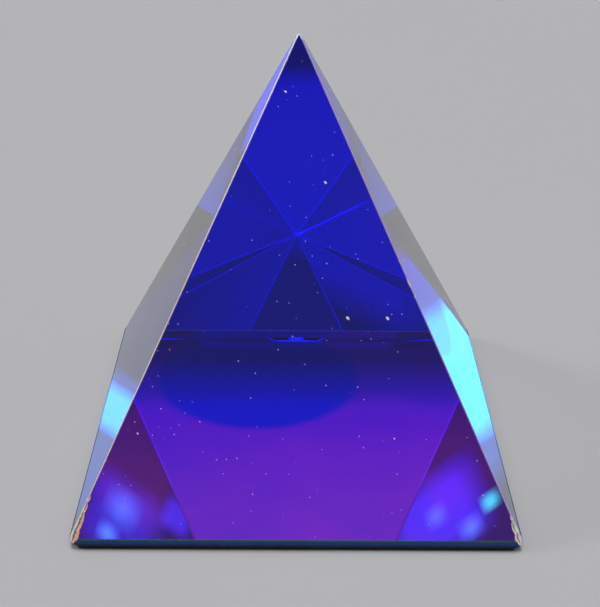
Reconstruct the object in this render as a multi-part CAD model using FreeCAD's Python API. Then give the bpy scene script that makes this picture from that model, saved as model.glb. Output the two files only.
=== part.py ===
import FreeCAD, Part
import math
import os

# Driving sizes of the pyramid, in millimetres and degrees.
# The origin is on the table under the apex, with +Z up and the front face towards -Y.

# Glass
BASE_WIDTH = 50.0  # across the polished band at the foot
TOTAL_HEIGHT = 51.3  # from the table to the small flat at the apex
APEX_FLAT = 0.4  # width of the ground flat that stands for a sharp point
ARRIS_WIDTH = 0.25  # polished flat along each slanting edge
BAND_HEIGHT = 1.0  # upright band round the foot
FOOT_BEVEL = 0.3  # bevel under the band, as high as it is wide

# Coats under the glass
FILM_THICKNESS = 0.05  # colour film, which wraps the base, the bevel and the band
LACQUER_THICKNESS = 0.1  # dark lacquer under the film, which is what rests on the table

# Chips at the two front corners of the foot.
# Each is a row of shell-shaped flakes that climbs the slanting edge and gets smaller.
# A flake is (length along the edge, width across it, depth, height of its middle up the edge).
LEFT_CORNER_FLAKES = [
    (4.4, 3.4, 0.55, 0.0),
    (4.4, 1.9, 0.45, 1.7),
    (1.7, 1.2, 0.3, 3.8),
    (1.2, 0.9, 0.2, 4.9),
]
RIGHT_CORNER_FLAKES = [
    (3.0, 2.6, 0.5, 0.0),
    (2.4, 1.5, 0.4, 1.5),
    (0.9, 0.7, 0.2, 2.8),
]
FLAKE_LEAN = 25.0  # degrees from the front face's normal to the way a flake was struck

# One more flake at each of these corners, struck up into its heel from below.
# It is (length round the corner, width across it, depth).
LEFT_HEEL_FLAKE = (4.0, 2.6, 0.75)
RIGHT_HEEL_FLAKE = (3.2, 2.2, 0.65)
HEEL_LEAN = 45.0  # degrees below level to the way it was struck

# Nicks in three of the slanting edges, struck straight into them.
# A nick is (length along the edge, width across it, depth, distance down from the apex).
REAR_LEFT_NICKS = [
    (1.3, 0.6, 0.25, 2.1),
    (0.5, 0.4, 0.2, 3.7),
    (0.7, 0.5, 0.2, 4.7),
]
FRONT_LEFT_NICKS = [
    (0.6, 0.45, 0.15, 51.4),
]
FRONT_RIGHT_NICKS = [
    (0.5, 0.4, 0.12, 27.2),
    (1.8, 0.5, 0.15, 29.8),
    (0.9, 0.45, 0.12, 31.5),
]

# A scoop's bowl is this many times as deep as the bite that it takes out of the glass.
BOWL_SHARE = 2.5

# Heights of the levels where the outline changes, from the table up
film_bottom = LACQUER_THICKNESS
glass_bottom = film_bottom + FILM_THICKNESS
band_bottom = glass_bottom + FOOT_BEVEL
band_top = band_bottom + BAND_HEIGHT

# The glass: its underside inside the bevel, and what the arris takes from each side of a corner
underside_width = BASE_WIDTH - 2 * FOOT_BEVEL
corner_cut = ARRIS_WIDTH / math.sqrt(2)

# The film keeps its thickness round the bevel and the corner flats, which lie at 45 degrees,
# so the bevel's foot moves out, its head moves down, and the corner flats grow.
bevel_shift = (math.sqrt(2) - 1) * FILM_THICKNESS
film_width = BASE_WIDTH + 2 * FILM_THICKNESS
film_foot_width = underside_width + 2 * bevel_shift
film_corner_cut = corner_cut + (2 - math.sqrt(2)) * FILM_THICKNESS

# The run and rise of a face, from the band's top to the apex flat, and its slope
face_run = (BASE_WIDTH - APEX_FLAT) / 2
face_rise = TOTAL_HEIGHT - band_top
face_slope = math.atan2(face_rise, face_run)


def outline(width, corner, height):
    """The eight corners of a level square whose own corners are cut off."""
    half = width / 2
    short = half - corner
    points = [
        (short, -half),
        (half, -short),
        (half, short),
        (short, half),
        (-short, half),
        (-half, short),
        (-half, -short),
        (-short, -half),
    ]
    return [FreeCAD.Vector(x, y, height) for x, y in points]


def flat_face(corners):
    """A flat face inside a closed row of straight edges."""
    return Part.Face(Part.makePolygon(corners + corners[:1]))


def stack(levels):
    """A solid with flat sides through (width, corner, height) levels, lowest first."""
    outlines = [outline(*level) for level in levels]
    faces = [flat_face(outlines[0]), flat_face(outlines[-1])]
    for lower, upper in zip(outlines, outlines[1:]):
        for here in range(len(lower)):
            before = here - 1
            faces.append(flat_face([lower[before], lower[here], upper[here], upper[before]]))
    return Part.Solid(Part.Shell(faces))


def whole_glass():
    """The pyramid as it left the polisher, before any chip."""
    return stack(
        [
            (underside_width, corner_cut, glass_bottom),
            (BASE_WIDTH, corner_cut, band_bottom),
            (BASE_WIDTH, corner_cut, band_top),
            (APEX_FLAT, corner_cut, TOTAL_HEIGHT),
        ]
    )


def whole_film():
    """The colour film: a shallow tray that fits the foot of the glass."""
    outside = stack(
        [
            (film_foot_width, film_corner_cut, film_bottom),
            (film_width, film_corner_cut, band_bottom - bevel_shift),
            (film_width, film_corner_cut, band_top),
        ]
    )
    return outside.cut(whole_glass())


def whole_lacquer():
    """The lacquer: one flat coat over the underside of the film."""
    face = flat_face(outline(film_foot_width, film_corner_cut, 0))
    return face.extrude(FreeCAD.Vector(0, 0, LACQUER_THICKNESS))


# A corner is named by side_x and side_y, each -1 or 1: the front left one is (-1, -1).
def up_edge(side_x, side_y):
    """Unit vector up the slanting edge over a corner."""
    up = FreeCAD.Vector(-side_x * face_run, -side_y * face_run, face_rise)
    return up.normalize()


def edge_normal(side_x, side_y):
    """Unit vector that points straight out of a slanting edge."""
    up = up_edge(side_x, side_y)
    diagonal = FreeCAD.Vector(side_x, side_y, 0)
    return (diagonal - up * diagonal.dot(up)).normalize()


def scoop(middle, along, outwards, size):
    """The egg-shaped bowl of a flake or nick whose middle is on the edge."""
    length, width, depth = size
    bowl = BOWL_SHARE * depth
    rim_share = math.sqrt(1 - (1 - depth / bowl) ** 2)
    long_axis = along * (length / 2 / rim_share)
    cross_axis = outwards.cross(along) * (width / 2 / rim_share)
    deep_axis = outwards * bowl
    centre = middle + outwards * (bowl - depth)
    place = FreeCAD.Matrix(
        cross_axis.x, long_axis.x, deep_axis.x, centre.x,
        cross_axis.y, long_axis.y, deep_axis.y, centre.y,
        cross_axis.z, long_axis.z, deep_axis.z, centre.z,
    )
    return Part.makeSphere(1).transformGeometry(place)


def corner_chip(side_x, flakes, heel_flake):
    """The scoops that strike a row of flakes, and one heel flake, off a front corner."""
    foot = FreeCAD.Vector(side_x * BASE_WIDTH / 2, -BASE_WIDTH / 2, band_top)
    up = up_edge(side_x, -1)
    front = FreeCAD.Vector(0, -math.sin(face_slope), math.cos(face_slope))
    outwards = FreeCAD.Rotation(up, side_x * FLAKE_LEAN).multVec(front)
    scoops = [
        scoop(foot + up * climb, up, outwards, (length, width, depth))
        for length, width, depth, climb in flakes
    ]
    heel = FreeCAD.Vector(side_x * BASE_WIDTH / 2, -BASE_WIDTH / 2, glass_bottom)
    round_corner = FreeCAD.Vector(1, side_x, 0).normalize()
    diagonal = FreeCAD.Vector(side_x, -1, 0).normalize()
    downwards = FreeCAD.Rotation(round_corner, HEEL_LEAN).multVec(diagonal)
    return scoops + [scoop(heel, round_corner, downwards, heel_flake)]


def edge_nicks(side_x, side_y, nicks):
    """The scoops that strike small nicks out of one slanting edge near the apex."""
    top = FreeCAD.Vector(side_x * APEX_FLAT / 2, side_y * APEX_FLAT / 2, TOTAL_HEIGHT)
    up = up_edge(side_x, side_y)
    outwards = edge_normal(side_x, side_y)
    return [
        scoop(top - up * drop, up, outwards, (length, width, depth))
        for length, width, depth, drop in nicks
    ]


left_chip = corner_chip(-1, LEFT_CORNER_FLAKES, LEFT_HEEL_FLAKE)
right_chip = corner_chip(1, RIGHT_CORNER_FLAKES, RIGHT_HEEL_FLAKE)
corner_scoops = left_chip + right_chip
rear_nicks = edge_nicks(-1, 1, REAR_LEFT_NICKS)
front_nicks = edge_nicks(-1, -1, FRONT_LEFT_NICKS) + edge_nicks(1, -1, FRONT_RIGHT_NICKS)

parts = {
    "glass_pyramid": whole_glass().cut(corner_scoops + rear_nicks + front_nicks),
    "color_film": whole_film().cut(corner_scoops),
    "backing_lacquer": whole_lacquer().cut(corner_scoops),
}

os.makedirs("parts", exist_ok=True)
for name, shape in parts.items():
    (solid,) = shape.removeSplitter().Solids
    solid.exportStep(f"parts/{name}.step")
    print(f"{name}: {solid.Volume:.2f} mm3, {len(solid.Faces)} faces, valid {solid.isValid()}")
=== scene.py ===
import math

import bpy
from bpy.props import FloatProperty, FloatVectorProperty, PointerProperty
from mathutils import Matrix, Vector


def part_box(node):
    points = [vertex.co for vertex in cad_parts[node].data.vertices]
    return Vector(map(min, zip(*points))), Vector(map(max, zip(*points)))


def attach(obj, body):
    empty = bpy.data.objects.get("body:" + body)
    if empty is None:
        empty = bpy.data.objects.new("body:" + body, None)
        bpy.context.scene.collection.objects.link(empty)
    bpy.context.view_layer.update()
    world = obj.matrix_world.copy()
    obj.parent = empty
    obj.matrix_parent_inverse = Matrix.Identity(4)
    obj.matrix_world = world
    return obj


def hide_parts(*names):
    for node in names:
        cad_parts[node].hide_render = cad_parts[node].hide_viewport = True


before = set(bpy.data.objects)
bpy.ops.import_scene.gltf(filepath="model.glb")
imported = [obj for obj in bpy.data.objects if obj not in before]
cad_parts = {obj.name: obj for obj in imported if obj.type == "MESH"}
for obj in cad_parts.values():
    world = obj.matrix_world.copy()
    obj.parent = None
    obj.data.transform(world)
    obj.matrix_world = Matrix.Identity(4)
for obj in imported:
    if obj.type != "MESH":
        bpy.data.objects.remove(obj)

bl_info = {
    "name": "Glass Pyramid",
    "version": (1, 0, 0),
    "blender": (4, 5, 0),
    "location": "3D View > Sidebar > Pyramid",
    "description": "Finishes the glass, film and lacquer of a glass pyramid and sets its stage",
    "category": "Object",
}

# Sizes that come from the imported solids, in metres
GLASS_LOW, GLASS_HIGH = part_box("glass_pyramid")
FILM_LOW, FILM_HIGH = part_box("color_film")
HALF_BASE = GLASS_HIGH[0]
APEX_HEIGHT = GLASS_HIGH[2]
GLASS_BOTTOM = GLASS_LOW[2]
BAND_TOP = FILM_HIGH[2]
ON_PLANE = 2e-6  # a point this near a flat of the glass lies on it
MERGE_DISTANCE = 1e-7
LEAST_DEPTH = 1e-6  # keeps a share of two depths finite

# Directions
UPRIGHT = 0.2  # the normal of an upright face rises or falls by less than this
SAME_WAY = 0.9999  # two unit vectors with a larger product point the same way
SMOOTH_ANGLE = math.radians(25)

# Material slots of the glass and of the film; slot 0 holds all their other faces
FRACTURE_SLOT, EDGE_SLOT = 1, 2
OUTSIDE_SLOT, WALL_SLOT = 1, 2

# Dust specks on the glass: how far apart they may lie and how large they get, in metres
COARSE_DUST = (0.0047, 0.00018)
FINE_DUST = (0.0012, 0.00006)

# Grain of the finishes, in waves per metre
CHIP_GRAIN = 2200
EDGE_GRAIN = 1500
FILM_DRIFT = 45
FILM_CLOUDS = 90
WALL_GRAIN = 400
BAND_GRAIN = 900
LACQUER_WEAR = 160
LACQUER_GRAIN = 3500
FLOOR_CLOUDS = 6

# A painted reflection on the film, a round patch at its rear: its middle, its radius and its soft
# edge, in metres
REFLECTION_PATCH_MIDDLE = (-0.0049, 0.0140)
REFLECTION_PATCH_RADIUS = 0.0127
REFLECTION_PATCH_EDGE = 0.0007

# Where the chips turn from their warm colour to a painted glint, from left to right and from low
# to high, in metres
GLINT_FROM_LEFT = (-0.002, 0.002)
GLINT_FROM_BELOW = (0.008, 0.012)

# Where the ground edges turn from one colour to another, in metres: from the lit left arrises to
# the painted shade of the right ones, from a painted dark line next to the front face, and up to a
# painted glint at the tip
RIGHT_SIDE = (-0.0002, 0.0002)  # from the left edges to the right ones
NEXT_TO_FRONT = (-0.00009, 0.00001)  # across an arris, from the front face to the side face
GLINT_BELOW_APEX = (0.0006, 0.0003)  # up to the pale tip

# Where the film turns cooler, from its middle to the left, in metres
COOL_SIDE = (0.0, -0.018)

# The camera of the photograph, found from the corners and edges of the object in it
CAMERA_STAND = (-0.00042, -0.13442, 0.08569)
CAMERA_TURN, CAMERA_DIP, CAMERA_ROLL = (math.radians(angle) for angle in (0.328, 26.702, -0.472))
CAMERA_LENS = 72.94  # millimetres, on a sensor 36 mm wide
SENSOR_WIDTH = 36
NEAREST_SEEN = 0.001

# Sockets of the Mix node for colours
MIX_SHARE, MIX_FIRST, MIX_SECOND = 0, 6, 7
MIX_RESULT = 2


def color_property(name, description, default):
    """A colour of a finish."""
    return FloatVectorProperty(
        name=name, description=description, default=default, size=3, subtype="COLOR", min=0, max=1
    )


def length_property(name, description, default):
    """A length of a piece, in metres."""
    return FloatProperty(
        name=name, description=description, default=default, unit="LENGTH", precision=6, min=0
    )


def share_property(name, description, default):
    """A share from none to all."""
    return FloatProperty(
        name=name, description=description, default=default, subtype="FACTOR", min=0, max=1
    )


def radiance_property(name, description, default):
    """A brightness, where 1 renders as white."""
    return FloatProperty(name=name, description=description, default=default, min=0)


class GlassSettings(bpy.types.PropertyGroup):
    """Sizes and finish of the glass."""

    apex_flat: length_property("Apex flat", "Width of the small flat on the apex", 0.0004)
    arris_width: length_property("Arris width", "Width of the flat along a slanting edge", 0.00025)
    foot_bevel: length_property("Foot bevel", "Height of the bevel under the band", 0.0003)
    refractive_index: FloatProperty(
        name="Refractive index", description="How much the glass bends light", default=1.52, min=1
    )
    tint: color_property("Tint", "Colour of the glass itself", (0.985, 0.99, 1.0))
    dust_color: color_property("Dust", "Colour of the dust specks", (0.80, 0.80, 0.84))
    dust_share: share_property("Dust amount", "Share of the places that hold a speck", 0.22)
    # Painted glint: the apex flat and the upper arrises are painted near white
    edge_glint_color: color_property(
        "Upper edges", "Colour of the apex flat and the upper arrises", (1.0, 0.97, 1.0)
    )
    # The ground arrises are pale; the colours below are those of the left ones, lighter with
    # painted light from the left
    edge_color: color_property(
        "Ground edges", "Colour of the arrises half way down", (1.0, 0.76, 0.70)
    )
    edge_foot_color: color_property(
        "Lower edges", "Colour of the arrises at their foot", (0.80, 0.86, 1.0)
    )
    # Painted shade: the arrises on the right take this darker, more violet copy of the colours of
    # the left ones
    shaded_edge_color: color_property(
        "Shaded edges", "Colour of the arrises on the right", (0.56, 0.50, 0.82)
    )
    # Painted glow: matt glass seen from inside shines with this colour and brightness, an emission
    # that stands for the light it scatters
    edge_inside: color_property(
        "Edges from inside", "Colour of matt glass to the light from inside", (1.0, 1.0, 1.0)
    )
    painted_edge_glow: radiance_property(
        "Edge glow", "Light that the arrises and chips scatter inwards", 0.34
    )
    # Painted shade: a dark line along each arris on its front side, near black on the left and
    # violet on the right
    edge_shade: color_property(
        "Edge shade", "Colour of the left arrises next to the front", (0.05, 0.03, 0.16)
    )
    right_edge_shade: color_property(
        "Right edge shade", "Colour of the right arrises next to the front", (0.16, 0.05, 0.50)
    )
    fracture_color: color_property(
        "Fracture", "Colour inside a chip on the left", (1.0, 0.58, 0.34)
    )
    # Painted glint: the chips on the right and high up are painted pale
    fracture_glint_color: color_property(
        "Pale fracture", "Colour inside a chip on the right", (1.0, 0.93, 0.82)
    )
    # Painted shade in a chip's hollow and at its rim on the front, and a painted highlight on its
    # outer edge
    fracture_hollow_shade: color_property(
        "Chip's hollow", "Colour in the hollow of a chip", (0.24, 0.13, 0.11)
    )
    fracture_rim_shade: color_property(
        "Chip's rim", "Colour of a chip's rim on the front", (0.22, 0.02, 0.03)
    )
    fracture_edge_highlight: color_property(
        "Chip's edge", "Colour of a chip's outer edge", (0.95, 0.93, 0.92)
    )


class FilmSettings(bpy.types.PropertyGroup):
    """Sizes and colours of the interference film."""

    grip: length_property("Grip", "How far the film's inner side is set into the glass", 0.00002)
    grazing_tint: color_property("Grazing tint", "Tint of the mirror edge on", (0.25, 0.1, 1.0))
    face_on: color_property("Face on", "Colour seen square to the film", (0.004, 0.003, 0.98))
    slanting: color_property("Slanting", "Colour seen at about 35 degrees", (0.0, 0.04, 0.96))
    oblique: color_property("Oblique", "Colour seen at about 50 degrees", (0.0, 0.14, 0.95))
    steep: color_property("Steep", "Colour seen at about 56 degrees", (0.225, 0.036, 0.92))
    steeper: color_property("Steeper", "Colour seen at about 59 degrees", (0.13, 0.025, 0.92))
    glancing: color_property("Glancing", "Colour seen at about 61 degrees", (0.06, 0.01, 0.80))
    cool_side: color_property("Cool side", "Tint of the film on the left", (0.85, 1.0, 1.0))
    # Painted reflection: a round patch at the rear of the film, bluer and darker
    painted_reflection_patch: color_property(
        "Rear patch", "Tint of the round patch at the rear", (0.12, 0.6, 1.0)
    )
    cloud_tint: FloatVectorProperty(
        name="Cloud tint",
        description="Tint of the faint clouds in the film, where 1 changes nothing",
        default=(1.35, 1.1, 1.0),
        size=3,
        min=0,
    )
    # The band's colours from top to foot: the film's colour with a painted reflection, and painted
    # shade near black at the foot
    outside_top: color_property(
        "Outside, top", "Colour of the band at its top", (0.035, 0.12, 0.12)
    )
    outside_middle: color_property(
        "Outside, middle", "Colour of the band at half height", (0.01, 0.06, 0.24)
    )
    outside_foot_shade: color_property(
        "Outside, foot", "Colour of the band at its foot", (0.01, 0.01, 0.03)
    )
    wall_color: color_property("Walls", "Colour of the band seen from inside", (0.85, 0.80, 0.86))


class LacquerSettings(bpy.types.PropertyGroup):
    """Finish of the backing lacquer."""

    lacquer_color: color_property("Lacquer", "Colour of the lacquer", (0.012, 0.013, 0.028))
    worn_color: color_property(
        "Worn lacquer", "Colour where the lacquer is rubbed", (0.05, 0.05, 0.07)
    )


class StageSettings(bpy.types.PropertyGroup):
    """The floor, the softboxes and the surroundings."""

    floor_size: length_property("Floor size", "Width of the floor", 8.0)
    floor_color: color_property("Floor", "Colour of the floor", (0.50, 0.50, 0.515))
    lamp_distance: length_property(
        "Lamp distance", "From the middle of the floor to a softbox", 20.0
    )
    surroundings: color_property("Surroundings", "Light from all round", (0.15, 0.15, 0.155))
    light: radiance_property("Light", "Brightness of all the softboxes together", 1.0)


def deselect_all():
    """Leaves object mode with nothing selected."""
    if bpy.context.mode != "OBJECT":
        bpy.ops.object.mode_set(mode="OBJECT")
    bpy.ops.object.select_all(action="DESELECT")


def copy_of_node(node_name, piece_name):
    """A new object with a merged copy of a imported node's mesh, left in edit mode."""
    deselect_all()
    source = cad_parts[node_name]
    piece = bpy.data.objects.new(piece_name, source.data.copy())
    piece.data.name = piece_name
    bpy.context.scene.collection.objects.link(piece)
    piece.select_set(True)
    bpy.context.view_layer.objects.active = piece
    bpy.ops.mesh.customdata_custom_splitnormals_clear()
    bpy.ops.object.shade_flat()
    bpy.ops.object.mode_set(mode="EDIT")
    bpy.ops.mesh.select_all(action="SELECT")
    bpy.ops.mesh.remove_doubles(threshold=MERGE_DISTANCE)
    bpy.ops.mesh.select_all(action="DESELECT")
    return piece


def select_points(piece, wanted):
    """Selects the points that pass a test of their place."""
    bpy.ops.object.mode_set(mode="OBJECT")
    for part in (piece.data.polygons, piece.data.edges):
        for item in part:
            item.select = False
    for point in piece.data.vertices:
        point.select = wanted(point.co)
    bpy.ops.object.mode_set(mode="EDIT")
    bpy.ops.mesh.select_mode(type="VERT")


def give_faces(piece, slot, wanted):
    """Gives the faces that pass a test of their middle and normal the material of a slot."""
    for face in piece.data.polygons:
        if wanted(face.center, face.normal):
            face.material_index = slot


def new_material(name):
    """A material with one Principled shader."""
    material = bpy.data.materials.new(name)
    material.use_nodes = True
    tree = material.node_tree
    tree.nodes.clear()
    shader = add_node(tree, "ShaderNodeBsdfPrincipled")
    output = add_node(tree, "ShaderNodeOutputMaterial")
    tree.links.new(shader.outputs["BSDF"], output.inputs["Surface"])
    return material, tree, shader


def feed(tree, socket, value):
    """Links a socket to another one, or sets it to a number or a colour."""
    if isinstance(value, bpy.types.NodeSocket):
        tree.links.new(value, socket)
    elif socket.type == "RGBA":
        socket.default_value = (*value, 1)
    else:
        socket.default_value = value


def add_node(tree, kind, inputs=None, **settings):
    """A new node with its settings and its inputs."""
    node = tree.nodes.new(kind)
    for name, value in settings.items():
        setattr(node, name, value)
    for name, value in (inputs or {}).items():
        feed(tree, node.inputs[name], value)
    return node


def calculate(tree, operation, first, second=0.0, clamp=False):
    """The result of a Math node."""
    inputs = {0: first, 1: second}
    node = add_node(tree, "ShaderNodeMath", inputs, operation=operation, use_clamp=clamp)
    return node.outputs[0]


def spread(tree, value, low, high):
    """A value mapped from low..high to 0..1, and held there."""
    inputs = {"Value": value, "From Min": low, "From Max": high}
    return add_node(tree, "ShaderNodeMapRange", inputs).outputs["Result"]


def blend_colors(tree, share, first, second, way="MIX"):
    """The first colour turning to the second, or to their product, as share goes from 0 to 1."""
    node = add_node(tree, "ShaderNodeMix", data_type="RGBA", blend_type=way)
    for index, value in ((MIX_SHARE, share), (MIX_FIRST, first), (MIX_SECOND, second)):
        feed(tree, node.inputs[index], value)
    return node.outputs[MIX_RESULT]


def tint_color(tree, share, color, tint):
    """A colour turning to its product with a tint as share goes from 0 to 1."""
    return blend_colors(tree, share, color, tint, "MULTIPLY")


def color_ramp(tree, value, stops):
    """A colour read from (place, colour) stops."""
    node = add_node(tree, "ShaderNodeValToRGB", {"Fac": value})
    elements = node.color_ramp.elements
    elements.remove(elements[-1])
    elements[0].position, elements[0].color = stops[0][0], (*stops[0][1], 1)
    for place, color in stops[1:]:
        elements.new(place).color = (*color, 1)
    return node.outputs["Color"]


def object_place(tree):
    """The place on the object, and its x, y and z."""
    place = add_node(tree, "ShaderNodeTexCoord").outputs["Object"]
    axes = add_node(tree, "ShaderNodeSeparateXYZ", {"Vector": place})
    return place, axes.outputs


def soft_disc(tree, place, middle, radius, edge):
    """1 inside an upright cylinder, 0 outside it, with a soft edge."""

    def combine(operation, inputs):
        return add_node(tree, "ShaderNodeVectorMath", inputs, operation=operation).outputs

    away = combine("SUBTRACT", {0: place, 1: (*middle, 0)})["Vector"]
    flat = combine("MULTIPLY", {0: away, 1: (1, 1, 0)})["Vector"]
    reach = combine("LENGTH", {0: flat})["Value"]
    return spread(tree, reach, radius + edge, radius - edge)


def noise(tree, place, scale, detail=3.0):
    """A soft noise from 0 to 1, whose scale is in waves per metre."""
    inputs = {"Vector": place, "Scale": scale, "Detail": detail, "Roughness": 0.55}
    return add_node(tree, "ShaderNodeTexNoise", inputs).outputs["Fac"]


def waver(tree, value, ripple, reach):
    """A value that a noise from 0 to 1 moves up or down by at most half of reach."""
    from_middle = calculate(tree, "SUBTRACT", ripple, 0.5)
    return calculate(tree, "ADD", value, calculate(tree, "MULTIPLY", from_middle, reach))


def roughen(tree, shader, grain, depth, strength):
    """Gives a finish small bumps, of a depth in metres."""
    inputs = {"Height": grain, "Distance": depth, "Strength": strength}
    bump = add_node(tree, "ShaderNodeBump", inputs)
    feed(tree, shader.inputs["Normal"], bump.outputs["Normal"])


def dust_specks(tree, axes, spacing, size, share):
    """1 on small round specks, 0 elsewhere: a share of the places, spacing apart, holds one."""
    x, y, z = axes
    sideways = calculate(tree, "ADD", x, y)
    along = add_node(tree, "ShaderNodeCombineXYZ", {"X": sideways, "Y": z}).outputs["Vector"]
    inputs = {"Vector": along, "Scale": 1 / spacing}
    cells = add_node(tree, "ShaderNodeTexVoronoi", inputs, voronoi_dimensions="2D").outputs
    chance = add_node(tree, "ShaderNodeSeparateColor", {"Color": cells["Color"]}).outputs
    reach = calculate(tree, "MULTIPLY", chance["Green"], size / spacing)
    near = calculate(tree, "LESS_THAN", cells["Distance"], reach)
    held = calculate(tree, "LESS_THAN", chance["Red"], share)
    return calculate(tree, "MULTIPLY", near, held)


def seen_from_inside(tree):
    """1 where light meets a surface from inside the piece, 0 where it comes from outside."""
    return add_node(tree, "ShaderNodeNewGeometry").outputs["Backfacing"]


def clear_glass_material(settings):
    """Polished glass with fine dust on it."""
    material, tree, shader = new_material("clear_glass")
    _, axes = object_place(tree)
    coarse = dust_specks(tree, axes, *COARSE_DUST, settings.dust_share)
    fine = dust_specks(tree, axes, *FINE_DUST, settings.dust_share)
    specks = calculate(tree, "MAXIMUM", coarse, fine)
    dust = calculate(tree, "SUBTRACT", specks, seen_from_inside(tree), clamp=True)
    color = blend_colors(tree, dust, settings.tint, settings.dust_color)
    feed(tree, shader.inputs["Base Color"], color)
    feed(tree, shader.inputs["Roughness"], calculate(tree, "MULTIPLY", dust, 0.9))
    feed(tree, shader.inputs["Transmission Weight"], calculate(tree, "SUBTRACT", 1.0, dust))
    shader.inputs["IOR"].default_value = settings.refractive_index
    return material


def paint_inward_glow(material, tree, shader, settings):
    """Paints a soft glow on matt glass, seen only from inside: an emission that stands for the
    light that it scatters.
    """
    from_inside = seen_from_inside(tree)
    glow = calculate(tree, "MULTIPLY", from_inside, settings.painted_edge_glow)
    feed(tree, shader.inputs["Emission Strength"], glow)
    shader.inputs["Emission Color"].default_value = (*settings.edge_inside, 1)
    material.cycles.emission_sampling = "NONE"
    return from_inside


def fracture_material(settings, depths):
    """Broken glass in a chip, from painted shade at its rim on the front, through its warm colour
    and painted shade in its hollow, to a painted highlight on its outer edge; chips on the right
    and high up get a painted glint, and all a painted glow inwards.
    """
    material, tree, shader = new_material("fresh_fracture")
    place, (x, _, z) = object_place(tree)
    under_front, under_side = depths(tree)
    both = calculate(tree, "ADD", under_front, under_side)
    ripple = noise(tree, place, CHIP_GRAIN, 2.0)
    across = waver(tree, calculate(tree, "DIVIDE", under_front, both), ripple, 0.3)
    # Across a chip: painted shade at its rim, its warm colour, painted shade in its hollow, a
    # painted highlight on its outer edge
    peach = color_ramp(
        tree,
        across,
        [
            (0.0, settings.fracture_rim_shade),
            (0.09, settings.fracture_rim_shade),
            (0.14, settings.fracture_color),
            (0.42, settings.fracture_color),
            (0.5, settings.fracture_hollow_shade),
            (0.6, settings.fracture_hollow_shade),
            (0.7, settings.fracture_edge_highlight),
        ],
    )
    # The same across the chips on the right and high up, with a painted glint for their colour
    pale = color_ramp(
        tree,
        across,
        [
            (0.0, settings.fracture_rim_shade),
            (0.1, settings.fracture_rim_shade),
            (0.16, settings.fracture_glint_color),
            (0.4, settings.fracture_glint_color),
            (0.46, settings.fracture_hollow_shade),
            (0.52, settings.fracture_hollow_shade),
            (0.58, settings.fracture_edge_highlight),
        ],
    )
    on_right = spread(tree, x, *GLINT_FROM_LEFT)
    high_up = spread(tree, z, *GLINT_FROM_BELOW)
    is_glinting = calculate(tree, "MAXIMUM", on_right, high_up)
    feed(tree, shader.inputs["Base Color"], blend_colors(tree, is_glinting, peach, pale))
    shader.inputs["Roughness"].default_value = 0.28
    shader.inputs["IOR"].default_value = settings.refractive_index
    shader.inputs["Transmission Weight"].default_value = 0.15
    roughen(tree, shader, ripple, 0.0002, 0.8)
    # Painted glow: the chips shine softly inwards
    paint_inward_glow(material, tree, shader, settings)
    return material


def ground_edge_material(settings):
    """The finely ground arrises and apex flat: pale from outside, almost clear from inside; with
    painted light on the left arrises, painted shade on the right ones and next to the front, a
    painted glint at the tip, and a painted glow inwards.
    """
    material, tree, shader = new_material("ground_edge")
    place, (x, y, z) = object_place(tree)
    color = color_ramp(
        tree,
        spread(tree, z, 0, APEX_HEIGHT),
        [
            (0.08, settings.edge_foot_color),
            (0.2, settings.edge_color),
            (0.5, settings.edge_color),
            (0.7, settings.edge_glint_color),
        ],
    )
    # Painted shade: the right arrises take the darker copy, and a dark line is painted along each
    # arris next to the front
    on_right = spread(tree, x, *RIGHT_SIDE)
    color = blend_colors(tree, on_right, color, settings.shaded_edge_color)
    shade = blend_colors(tree, on_right, settings.edge_shade, settings.right_edge_shade)
    from_middle = calculate(tree, "ABSOLUTE", x)
    lean = calculate(tree, "SUBTRACT", from_middle, calculate(tree, "ABSOLUTE", y))
    color = blend_colors(tree, spread(tree, lean, *NEXT_TO_FRONT), shade, color)
    # Painted glint: the tip of every arris and the apex flat turn near white
    glint_at_tip = spread(tree, z, *(APEX_HEIGHT - below for below in GLINT_BELOW_APEX))
    color = blend_colors(tree, glint_at_tip, color, settings.edge_glint_color)
    grain = spread(tree, noise(tree, place, EDGE_GRAIN, 2.0), 0.5, 0.8)
    worn = tint_color(tree, 1.0, color, (0.8, 0.8, 0.8))
    color = blend_colors(tree, grain, color, worn)
    # Painted glow: the arrises shine softly inwards
    from_inside = paint_inward_glow(material, tree, shader, settings)
    color = blend_colors(tree, from_inside, color, settings.edge_inside)
    feed(tree, shader.inputs["Base Color"], color)
    smoother = calculate(tree, "MULTIPLY", from_inside, 0.26)
    feed(tree, shader.inputs["Roughness"], calculate(tree, "SUBTRACT", 0.3, smoother))
    feed(tree, shader.inputs["Transmission Weight"], spread(tree, from_inside, -0.15, 1.0))
    shader.inputs["IOR"].default_value = settings.refractive_index
    return material


def face_slope(settings):
    """The slope of a face, in radians."""
    return math.atan2(APEX_HEIGHT - BAND_TOP, HALF_BASE - settings.apex_flat / 2)


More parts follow.
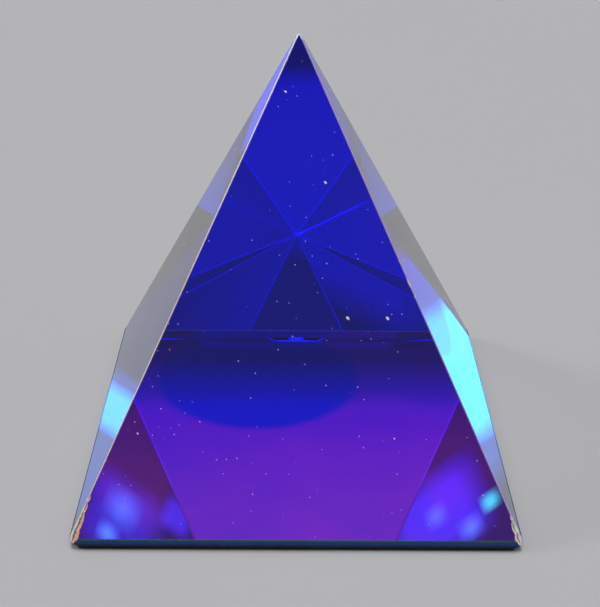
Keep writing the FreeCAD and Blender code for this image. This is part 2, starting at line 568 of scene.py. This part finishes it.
class PYRAMID_OT_glass(bpy.types.Operator):
    """Makes the glass body, with its polished faces, its dust and its chips"""

    bl_idname = "pyramid.glass"
    bl_label = "Glass"

    def execute(self, context):
        settings = context.scene.pyramid_glass
        slope = face_slope(settings)
        outward = Vector((math.sin(slope), 0, math.cos(slope)))
        reach = outward.dot(Vector((HALF_BASE, 0, BAND_TOP)))
        corner_cut = settings.arris_width / math.sqrt(2)
        arris_out = Vector((1, 1, 2 / math.tan(slope))).normalized()
        arris_reach = arris_out.dot(Vector((HALF_BASE, HALF_BASE - corner_cut, BAND_TOP)))

        def arris_turned(normal):
            """The outward direction of the arris on the side that a normal points to."""
            across = math.copysign(arris_out.x, normal.x)
            back = math.copysign(arris_out.y, normal.y)
            return Vector((across, back, arris_out.z))

        def depth(point):
            """How far a point lies under the polished outside of the glass."""
            x, y, z = abs(point.x), abs(point.y), point.z
            furthest = max(x, y)
            up = z - GLASS_BOTTOM
            at_bevel = HALF_BASE - settings.foot_bevel + up
            return min(
                reach - outward.dot(Vector((furthest, 0, z))),
                HALF_BASE - furthest,
                arris_reach - arris_out.dot(Vector((x, y, z))),
                (2 * HALF_BASE - corner_cut - x - y) / math.sqrt(2),
                (at_bevel - furthest) / math.sqrt(2),
                (2 * at_bevel - corner_cut - x - y) / math.sqrt(6),
                up,
                APEX_HEIGHT - z,
            )

        def depths(tree):
            """Depth under the front face and under the nearer side face, for the chips."""
            _, (x, y, z) = object_place(tree)
            ahead = calculate(tree, "MULTIPLY", y, -1.0)
            aside = calculate(tree, "ABSOLUTE", x)
            results = []
            for away in (ahead, aside):
                outwards = calculate(tree, "MULTIPLY", away, outward.x)
                upwards = calculate(tree, "MULTIPLY", z, outward.z)
                along_normal = calculate(tree, "ADD", outwards, upwards)
                under_slope = calculate(tree, "SUBTRACT", reach, along_normal)
                under_band = calculate(tree, "SUBTRACT", HALF_BASE, away)
                nearest = calculate(tree, "MINIMUM", under_slope, under_band)
                results.append(calculate(tree, "MAXIMUM", nearest, LEAST_DEPTH))
            return results

        def is_broken(middle, normal):
            return depth(middle) > ON_PLANE

        def is_arris(middle, normal):
            return normal.dot(arris_turned(normal)) > SAME_WAY

        def is_apex_flat(middle, normal):
            return middle.z > APEX_HEIGHT - ON_PLANE

        glass = copy_of_node("glass_pyramid", "glass_body")
        deselect_all()
        glass.data.materials.clear()
        glass.data.materials.append(clear_glass_material(settings))
        glass.data.materials.append(fracture_material(settings, depths))
        glass.data.materials.append(ground_edge_material(settings))
        give_faces(glass, FRACTURE_SLOT, is_broken)
        give_faces(glass, EDGE_SLOT, is_arris)
        give_faces(glass, EDGE_SLOT, is_apex_flat)
        glass.select_set(True)
        bpy.ops.object.shade_smooth_by_angle(angle=SMOOTH_ANGLE)
        for face in glass.data.polygons:
            face.use_smooth = face.material_index == FRACTURE_SLOT
        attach(glass, "root")
        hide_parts("glass_pyramid")
        return {"FINISHED"}


def film_colors(tree, settings):
    """The film's colour by the angle at which it is seen, shifted gently from place to place, with
    a painted reflection in a round patch at the rear.
    """
    place, (x, _, _) = object_place(tree)
    facing = add_node(tree, "ShaderNodeLayerWeight", {"Blend": 0.5}).outputs["Facing"]
    color = color_ramp(
        tree,
        waver(tree, facing, noise(tree, place, FILM_DRIFT, 1.0), 0.006),
        [
            (0.0, settings.face_on),
            (0.08, settings.face_on),
            (0.17, settings.slanting),
            (0.26, settings.slanting),
            (0.343, settings.oblique),
            (0.397, settings.oblique),
            (0.407, settings.slanting),
            (0.434, settings.steep),
            (0.459, settings.steep),
            (0.502, settings.steeper),
            (0.511, settings.glancing),
            (1.0, settings.glancing),
        ],
    )
    color = tint_color(tree, spread(tree, x, *COOL_SIDE), color, settings.cool_side)
    # Painted reflection: a round patch at the rear, bluer and darker
    patch = soft_disc(tree, place, REFLECTION_PATCH_MIDDLE, REFLECTION_PATCH_RADIUS, REFLECTION_PATCH_EDGE)
    color = tint_color(tree, patch, color, settings.painted_reflection_patch)
    cloudy = spread(tree, noise(tree, place, FILM_CLOUDS, 2.0), 0.3, 0.7)
    clouded = tint_color(tree, 1.0, color, settings.cloud_tint)
    return blend_colors(tree, cloudy, color, clouded)


def film_inside_material(settings):
    """The film as it is seen through the glass: a mirror whose colour turns with the angle."""
    material, tree, shader = new_material("color_film")
    feed(tree, shader.inputs["Base Color"], film_colors(tree, settings))
    shader.inputs["Metallic"].default_value = 1.0
    shader.inputs["Roughness"].default_value = 0.0
    shader.inputs["Specular Tint"].default_value = (*settings.grazing_tint, 1)
    return material


def film_wall_material(settings):
    """The film on the band as it is seen through the glass, edge on: a pale mirror."""
    material, tree, shader = new_material("color_film_wall")
    place, _ = object_place(tree)
    dimmer = [channel * 0.8 for channel in settings.wall_color]
    grain = noise(tree, place, WALL_GRAIN)
    color = blend_colors(tree, grain, settings.wall_color, dimmer)
    feed(tree, shader.inputs["Base Color"], color)
    shader.inputs["Metallic"].default_value = 1.0
    shader.inputs["Roughness"].default_value = 0.1
    return material


def film_outside_material(settings):
    """The film as it is seen from outside: green at the top of the band and blue lower down, the
    film's colour with a painted reflection, and painted shade, near black, at its foot.
    """
    material, tree, shader = new_material("color_film_outside")
    place, (_, _, height) = object_place(tree)
    up_band = spread(tree, height, FILM_LOW[2], BAND_TOP)
    # Painted shade near black at the foot of the band; above it the film's colour with a painted
    # reflection
    color = color_ramp(
        tree,
        waver(tree, up_band, noise(tree, place, BAND_GRAIN), 0.2),
        [
            (0.0, settings.outside_foot_shade),
            (0.38, settings.outside_foot_shade),
            (0.6, settings.outside_middle),
            (0.78, settings.outside_middle),
            (0.88, settings.outside_top),
        ],
    )
    feed(tree, shader.inputs["Base Color"], color)
    shader.inputs["Metallic"].default_value = 0.6
    shader.inputs["Roughness"].default_value = 0.22
    return material


class PYRAMID_OT_film(bpy.types.Operator):
    """Makes the colour film that wraps the base, the bevel and the band of the glass"""

    bl_idname = "pyramid.film"
    bl_label = "Colour film"

    def execute(self, context):
        settings = context.scene.pyramid_film
        grip = settings.grip

        def on_glass_floor(place):
            return abs(place.z - GLASS_BOTTOM) < ON_PLANE

        def on_glass_wall(place):
            return abs(max(abs(place.x), abs(place.y)) - HALF_BASE) < ON_PLANE

        film = copy_of_node("color_film", "film_tray")
        select_points(film, lambda place: on_glass_floor(place) or on_glass_wall(place))
        shrink = 1 - grip / HALF_BASE
        bpy.ops.transform.resize(value=(shrink, shrink, 1), center_override=(0, 0, 0))
        select_points(film, on_glass_floor)
        bpy.ops.transform.translate(value=(0, 0, grip))
        deselect_all()

        def on_wall(middle, normal):
            """Whether a face is on the inner side of the upright wall."""
            inwards = normal.x * middle.x + normal.y * middle.y < 0
            return abs(normal.z) < UPRIGHT and inwards

        def on_outside(middle, normal):
            """Whether a face is on the outer side, the top edge or the underside of the tray."""
            if abs(normal.z) < UPRIGHT:
                return not on_wall(middle, normal)
            return normal.z < -UPRIGHT or middle.z > BAND_TOP - ON_PLANE

        film.data.materials.clear()
        film.data.materials.append(film_inside_material(settings))
        film.data.materials.append(film_outside_material(settings))
        film.data.materials.append(film_wall_material(settings))
        give_faces(film, OUTSIDE_SLOT, on_outside)
        give_faces(film, WALL_SLOT, on_wall)
        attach(film, "root")
        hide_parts("color_film")
        return {"FINISHED"}


class PYRAMID_OT_lacquer(bpy.types.Operator):
    """Gives the backing lacquer its dark, slightly rubbed finish"""

    bl_idname = "pyramid.lacquer"
    bl_label = "Backing lacquer"

    def execute(self, context):
        settings = context.scene.pyramid_lacquer
        material, tree, shader = new_material("backing_lacquer")
        place, _ = object_place(tree)
        rubbed = spread(tree, noise(tree, place, LACQUER_WEAR, 4.0), 0.52, 0.72)
        color = blend_colors(tree, rubbed, settings.lacquer_color, settings.worn_color)
        feed(tree, shader.inputs["Base Color"], color)
        rougher = calculate(tree, "MULTIPLY", rubbed, 0.3)
        feed(tree, shader.inputs["Roughness"], calculate(tree, "ADD", rougher, 0.25))
        roughen(tree, shader, noise(tree, place, LACQUER_GRAIN, 2.0), 0.00001, 0.4)
        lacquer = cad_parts["backing_lacquer"]
        lacquer.data.materials.clear()
        lacquer.data.materials.append(material)
        return {"FINISHED"}


# Colours of the light
WHITE, COOL, WARM = (1, 1, 1), (0.25, 1, 1), (1, 0.6, 0.08)
TEAL, GREEN = (0.03, 1, 0.1), (0.006, 1, 0.022)

# The softboxes: name, azimuth and elevation of the middle, width and height (all in degrees as
# seen from the object, with azimuth 0 behind it and 90 on its right), radiance, softness, colour
SOFTBOXES = [
    ("overhead", 0, 90, 30, 54, 6.0, 0.5, WHITE),
    ("overhead_wide", 0, 90, 38, 56, 1.5, 0.4, WHITE),
    ("front", 180, 24, 60, 34, 0.15, 0.5, WHITE),
    ("behind", 0, 36.5, 34, 14.4, 0.45, 0.3, WHITE),
    ("behind_middle", 0, 20.3, 50, 9, 0.35, 0.2, WHITE),
    ("behind_low", 0, 5.4, 78, 11, 0.35, 0.2, WHITE),
    ("left_side", -110, 34, 28, 32, 0.3, 0.4, WHITE),
    ("left_low", -87, 18.5, 14, 15, 1.4, 0.3, WHITE),
    ("left_low_spot", -102.5, 15.5, 11, 12, 0.35, 0.6, WHITE),
    ("right_side", 110, 28, 28, 40, 0.24, 0.5, WHITE),
    ("right_low", 88, 19, 12, 12, 0.27, 0.4, WHITE),
    ("strip_for_right_face", -84.5, 35.6, 16, 5.5, 18.0, 0.3, WHITE),
    ("glow_for_right_face", -84.5, 34.95, 18, 9.8, 1.2, 0.2, WHITE),
    ("strip_for_left_face", 84.5, 37.2, 16, 1.8, 10.0, 0.5, WHITE),
    ("glow_for_left_face", 86.5, 38.2, 22, 4.8, 0.8, 0.15, WHITE),
    ("left_corner_warmth", 44.8, 4.6, 7, 6, 0.33, 0.4, WARM),
    ("right_corner_warmth", -44.4, 4.5, 7, 5, 0.2, 0.4, WARM),
    ("left_corner_glow", 48.2, 5.2, 5.0, 5.0, 0.5, 0.5, COOL),
    ("left_corner_spot", 47.55, 5.1, 2.4, 2.3, 8.0, 0.9, TEAL),
    ("left_corner_low_spot", 49.2, 4.85, 1.4, 1.4, 12.0, 0.9, TEAL),
    ("left_corner_high_spot", 46.2, 7.8, 2.1, 2.0, 0.75, 0.6, COOL),
    ("right_corner_glow", -47.1, 6.4, 5.0, 6.2, 0.95, 0.5, COOL),
    ("right_corner_spot", -48.05, 3.6, 1.15, 1.3, 46.0, 0.8, GREEN),
    ("right_corner_mid_spot", -47.0, 6.45, 1.4, 1.4, 6.5, 0.9, TEAL),
    ("right_corner_low_spot", -48.65, 5.0, 1.5, 1.6, 8.5, 0.9, TEAL),
]


def soften_lamp(data, softness):
    """Fades a softbox towards its edges: softness is the share of its half width that fades."""
    data.use_nodes = True
    tree = data.node_tree
    place = add_node(tree, "ShaderNodeNewGeometry").outputs["Parametric"]
    across = add_node(tree, "ShaderNodeSeparateXYZ", {"Vector": place}).outputs
    fades = []
    for axis in (across["X"], across["Y"]):
        from_middle = calculate(tree, "ABSOLUTE", calculate(tree, "SUBTRACT", axis, 0.5))
        fades.append(spread(tree, from_middle, 0.5, 0.5 * (1 - softness)))
    fade = calculate(tree, "MULTIPLY", fades[0], fades[1])
    feed(tree, tree.nodes["Emission"].inputs["Strength"], fade)


def direction(turn, rise):
    """Unit vector that turns right from straight back, and rises from level."""
    level = math.cos(rise)
    return Vector((math.sin(turn) * level, math.cos(turn) * level, math.sin(rise)))


def add_softbox(name, azimuth, elevation, width, height, radiance, softness, color):
    """A softbox that faces the object, with its place and size as seen from there."""
    distance = bpy.context.scene.pyramid_stage.lamp_distance
    towards = direction(math.radians(azimuth), math.radians(elevation))
    data = bpy.data.lights.new(name, "AREA")
    data.shape = "RECTANGLE"
    data.size = 2 * distance * math.tan(math.radians(width / 2))
    data.size_y = 2 * distance * math.tan(math.radians(height / 2))
    data.energy = radiance * math.pi * data.size * data.size_y
    data.color = color
    soften_lamp(data, softness)
    softbox = bpy.data.objects.new(name, data)
    softbox.location = towards * distance
    softbox.rotation_euler = (-towards).to_track_quat("-Z", "Y").to_euler()
    softbox.visible_camera = False
    bpy.context.scene.collection.objects.link(softbox)


def add_camera():
    """The camera, which stands where the photograph was taken."""
    ahead = direction(CAMERA_TURN, -CAMERA_DIP)
    level = Vector((math.cos(CAMERA_TURN), -math.sin(CAMERA_TURN), 0))
    plumb = ahead.cross(level)
    across = math.cos(CAMERA_ROLL) * level + math.sin(CAMERA_ROLL) * plumb
    down = math.cos(CAMERA_ROLL) * plumb - math.sin(CAMERA_ROLL) * level
    data = bpy.data.cameras.new("camera")
    data.lens = CAMERA_LENS
    data.sensor_width = SENSOR_WIDTH
    data.clip_start = NEAREST_SEEN
    camera = bpy.data.objects.new("camera", data)
    turned = Matrix((across, -down, -ahead)).transposed().to_4x4()
    camera.matrix_world = Matrix.Translation(CAMERA_STAND) @ turned
    bpy.context.scene.collection.objects.link(camera)
    bpy.context.scene.camera = camera


def floor_material(settings):
    """A plain pale floor with a faint cloudiness."""
    material, tree, shader = new_material("floor")
    place, _ = object_place(tree)
    darker = [channel * 0.96 for channel in settings.floor_color]
    clouds = noise(tree, place, FLOOR_CLOUDS)
    color = blend_colors(tree, clouds, settings.floor_color, darker)
    feed(tree, shader.inputs["Base Color"], color)
    shader.inputs["Roughness"].default_value = 0.9
    return material


class PYRAMID_OT_stage(bpy.types.Operator):
    """Sets the floor, the softboxes, the surroundings and the camera"""

    bl_idname = "pyramid.stage"
    bl_label = "Stage"

    def execute(self, context):
        settings = context.scene.pyramid_stage
        deselect_all()
        bpy.ops.mesh.primitive_plane_add(size=settings.floor_size)
        floor = context.object
        floor.name = "floor"
        floor.data.materials.append(floor_material(settings))

        for *name_and_shape, radiance, softness, color in SOFTBOXES:
            add_softbox(*name_and_shape, radiance * settings.light, softness, color)

        world = bpy.data.worlds.new("surroundings")
        world.use_nodes = True
        background = world.node_tree.nodes["Background"]
        feed(world.node_tree, background.inputs["Color"], settings.surroundings)
        context.scene.world = world
        context.scene.view_settings.view_transform = "Standard"
        add_camera()
        return {"FINISHED"}


class PYRAMID_PT_panel(bpy.types.Panel):
    """The pieces of the pyramid and its stage."""

    bl_idname = "PYRAMID_PT_panel"
    bl_label = "Glass Pyramid"
    bl_space_type = "VIEW_3D"
    bl_region_type = "UI"
    bl_category = "Pyramid"

    def draw(self, context):
        for operator, group in STEPS:
            box = self.layout.box()
            box.operator(operator.bl_idname)
            settings = getattr(context.scene, group)
            for name in settings.__annotations__:
                box.prop(settings, name)


GROUPS = {
    "pyramid_glass": GlassSettings,
    "pyramid_film": FilmSettings,
    "pyramid_lacquer": LacquerSettings,
    "pyramid_stage": StageSettings,
}
STEPS = [
    (PYRAMID_OT_glass, "pyramid_glass"),
    (PYRAMID_OT_film, "pyramid_film"),
    (PYRAMID_OT_lacquer, "pyramid_lacquer"),
    (PYRAMID_OT_stage, "pyramid_stage"),
]


def register():
    """Registers the settings, the operators and the panel."""
    for name, group in GROUPS.items():
        bpy.utils.register_class(group)
        setattr(bpy.types.Scene, name, PointerProperty(type=group))
    for operator, _ in STEPS:
        bpy.utils.register_class(operator)
    bpy.utils.register_class(PYRAMID_PT_panel)


def unregister():
    """Removes what register added."""
    bpy.utils.unregister_class(PYRAMID_PT_panel)
    for operator, _ in reversed(STEPS):
        bpy.utils.unregister_class(operator)
    for name, group in reversed(GROUPS.items()):
        delattr(bpy.types.Scene, name)
        bpy.utils.unregister_class(group)


def main():
    """Makes every piece and the stage."""
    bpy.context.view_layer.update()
    register()
    bpy.ops.pyramid.glass()
    bpy.ops.pyramid.film()
    bpy.ops.pyramid.lacquer()
    bpy.ops.pyramid.stage()


if __name__ == "__main__":
    main()
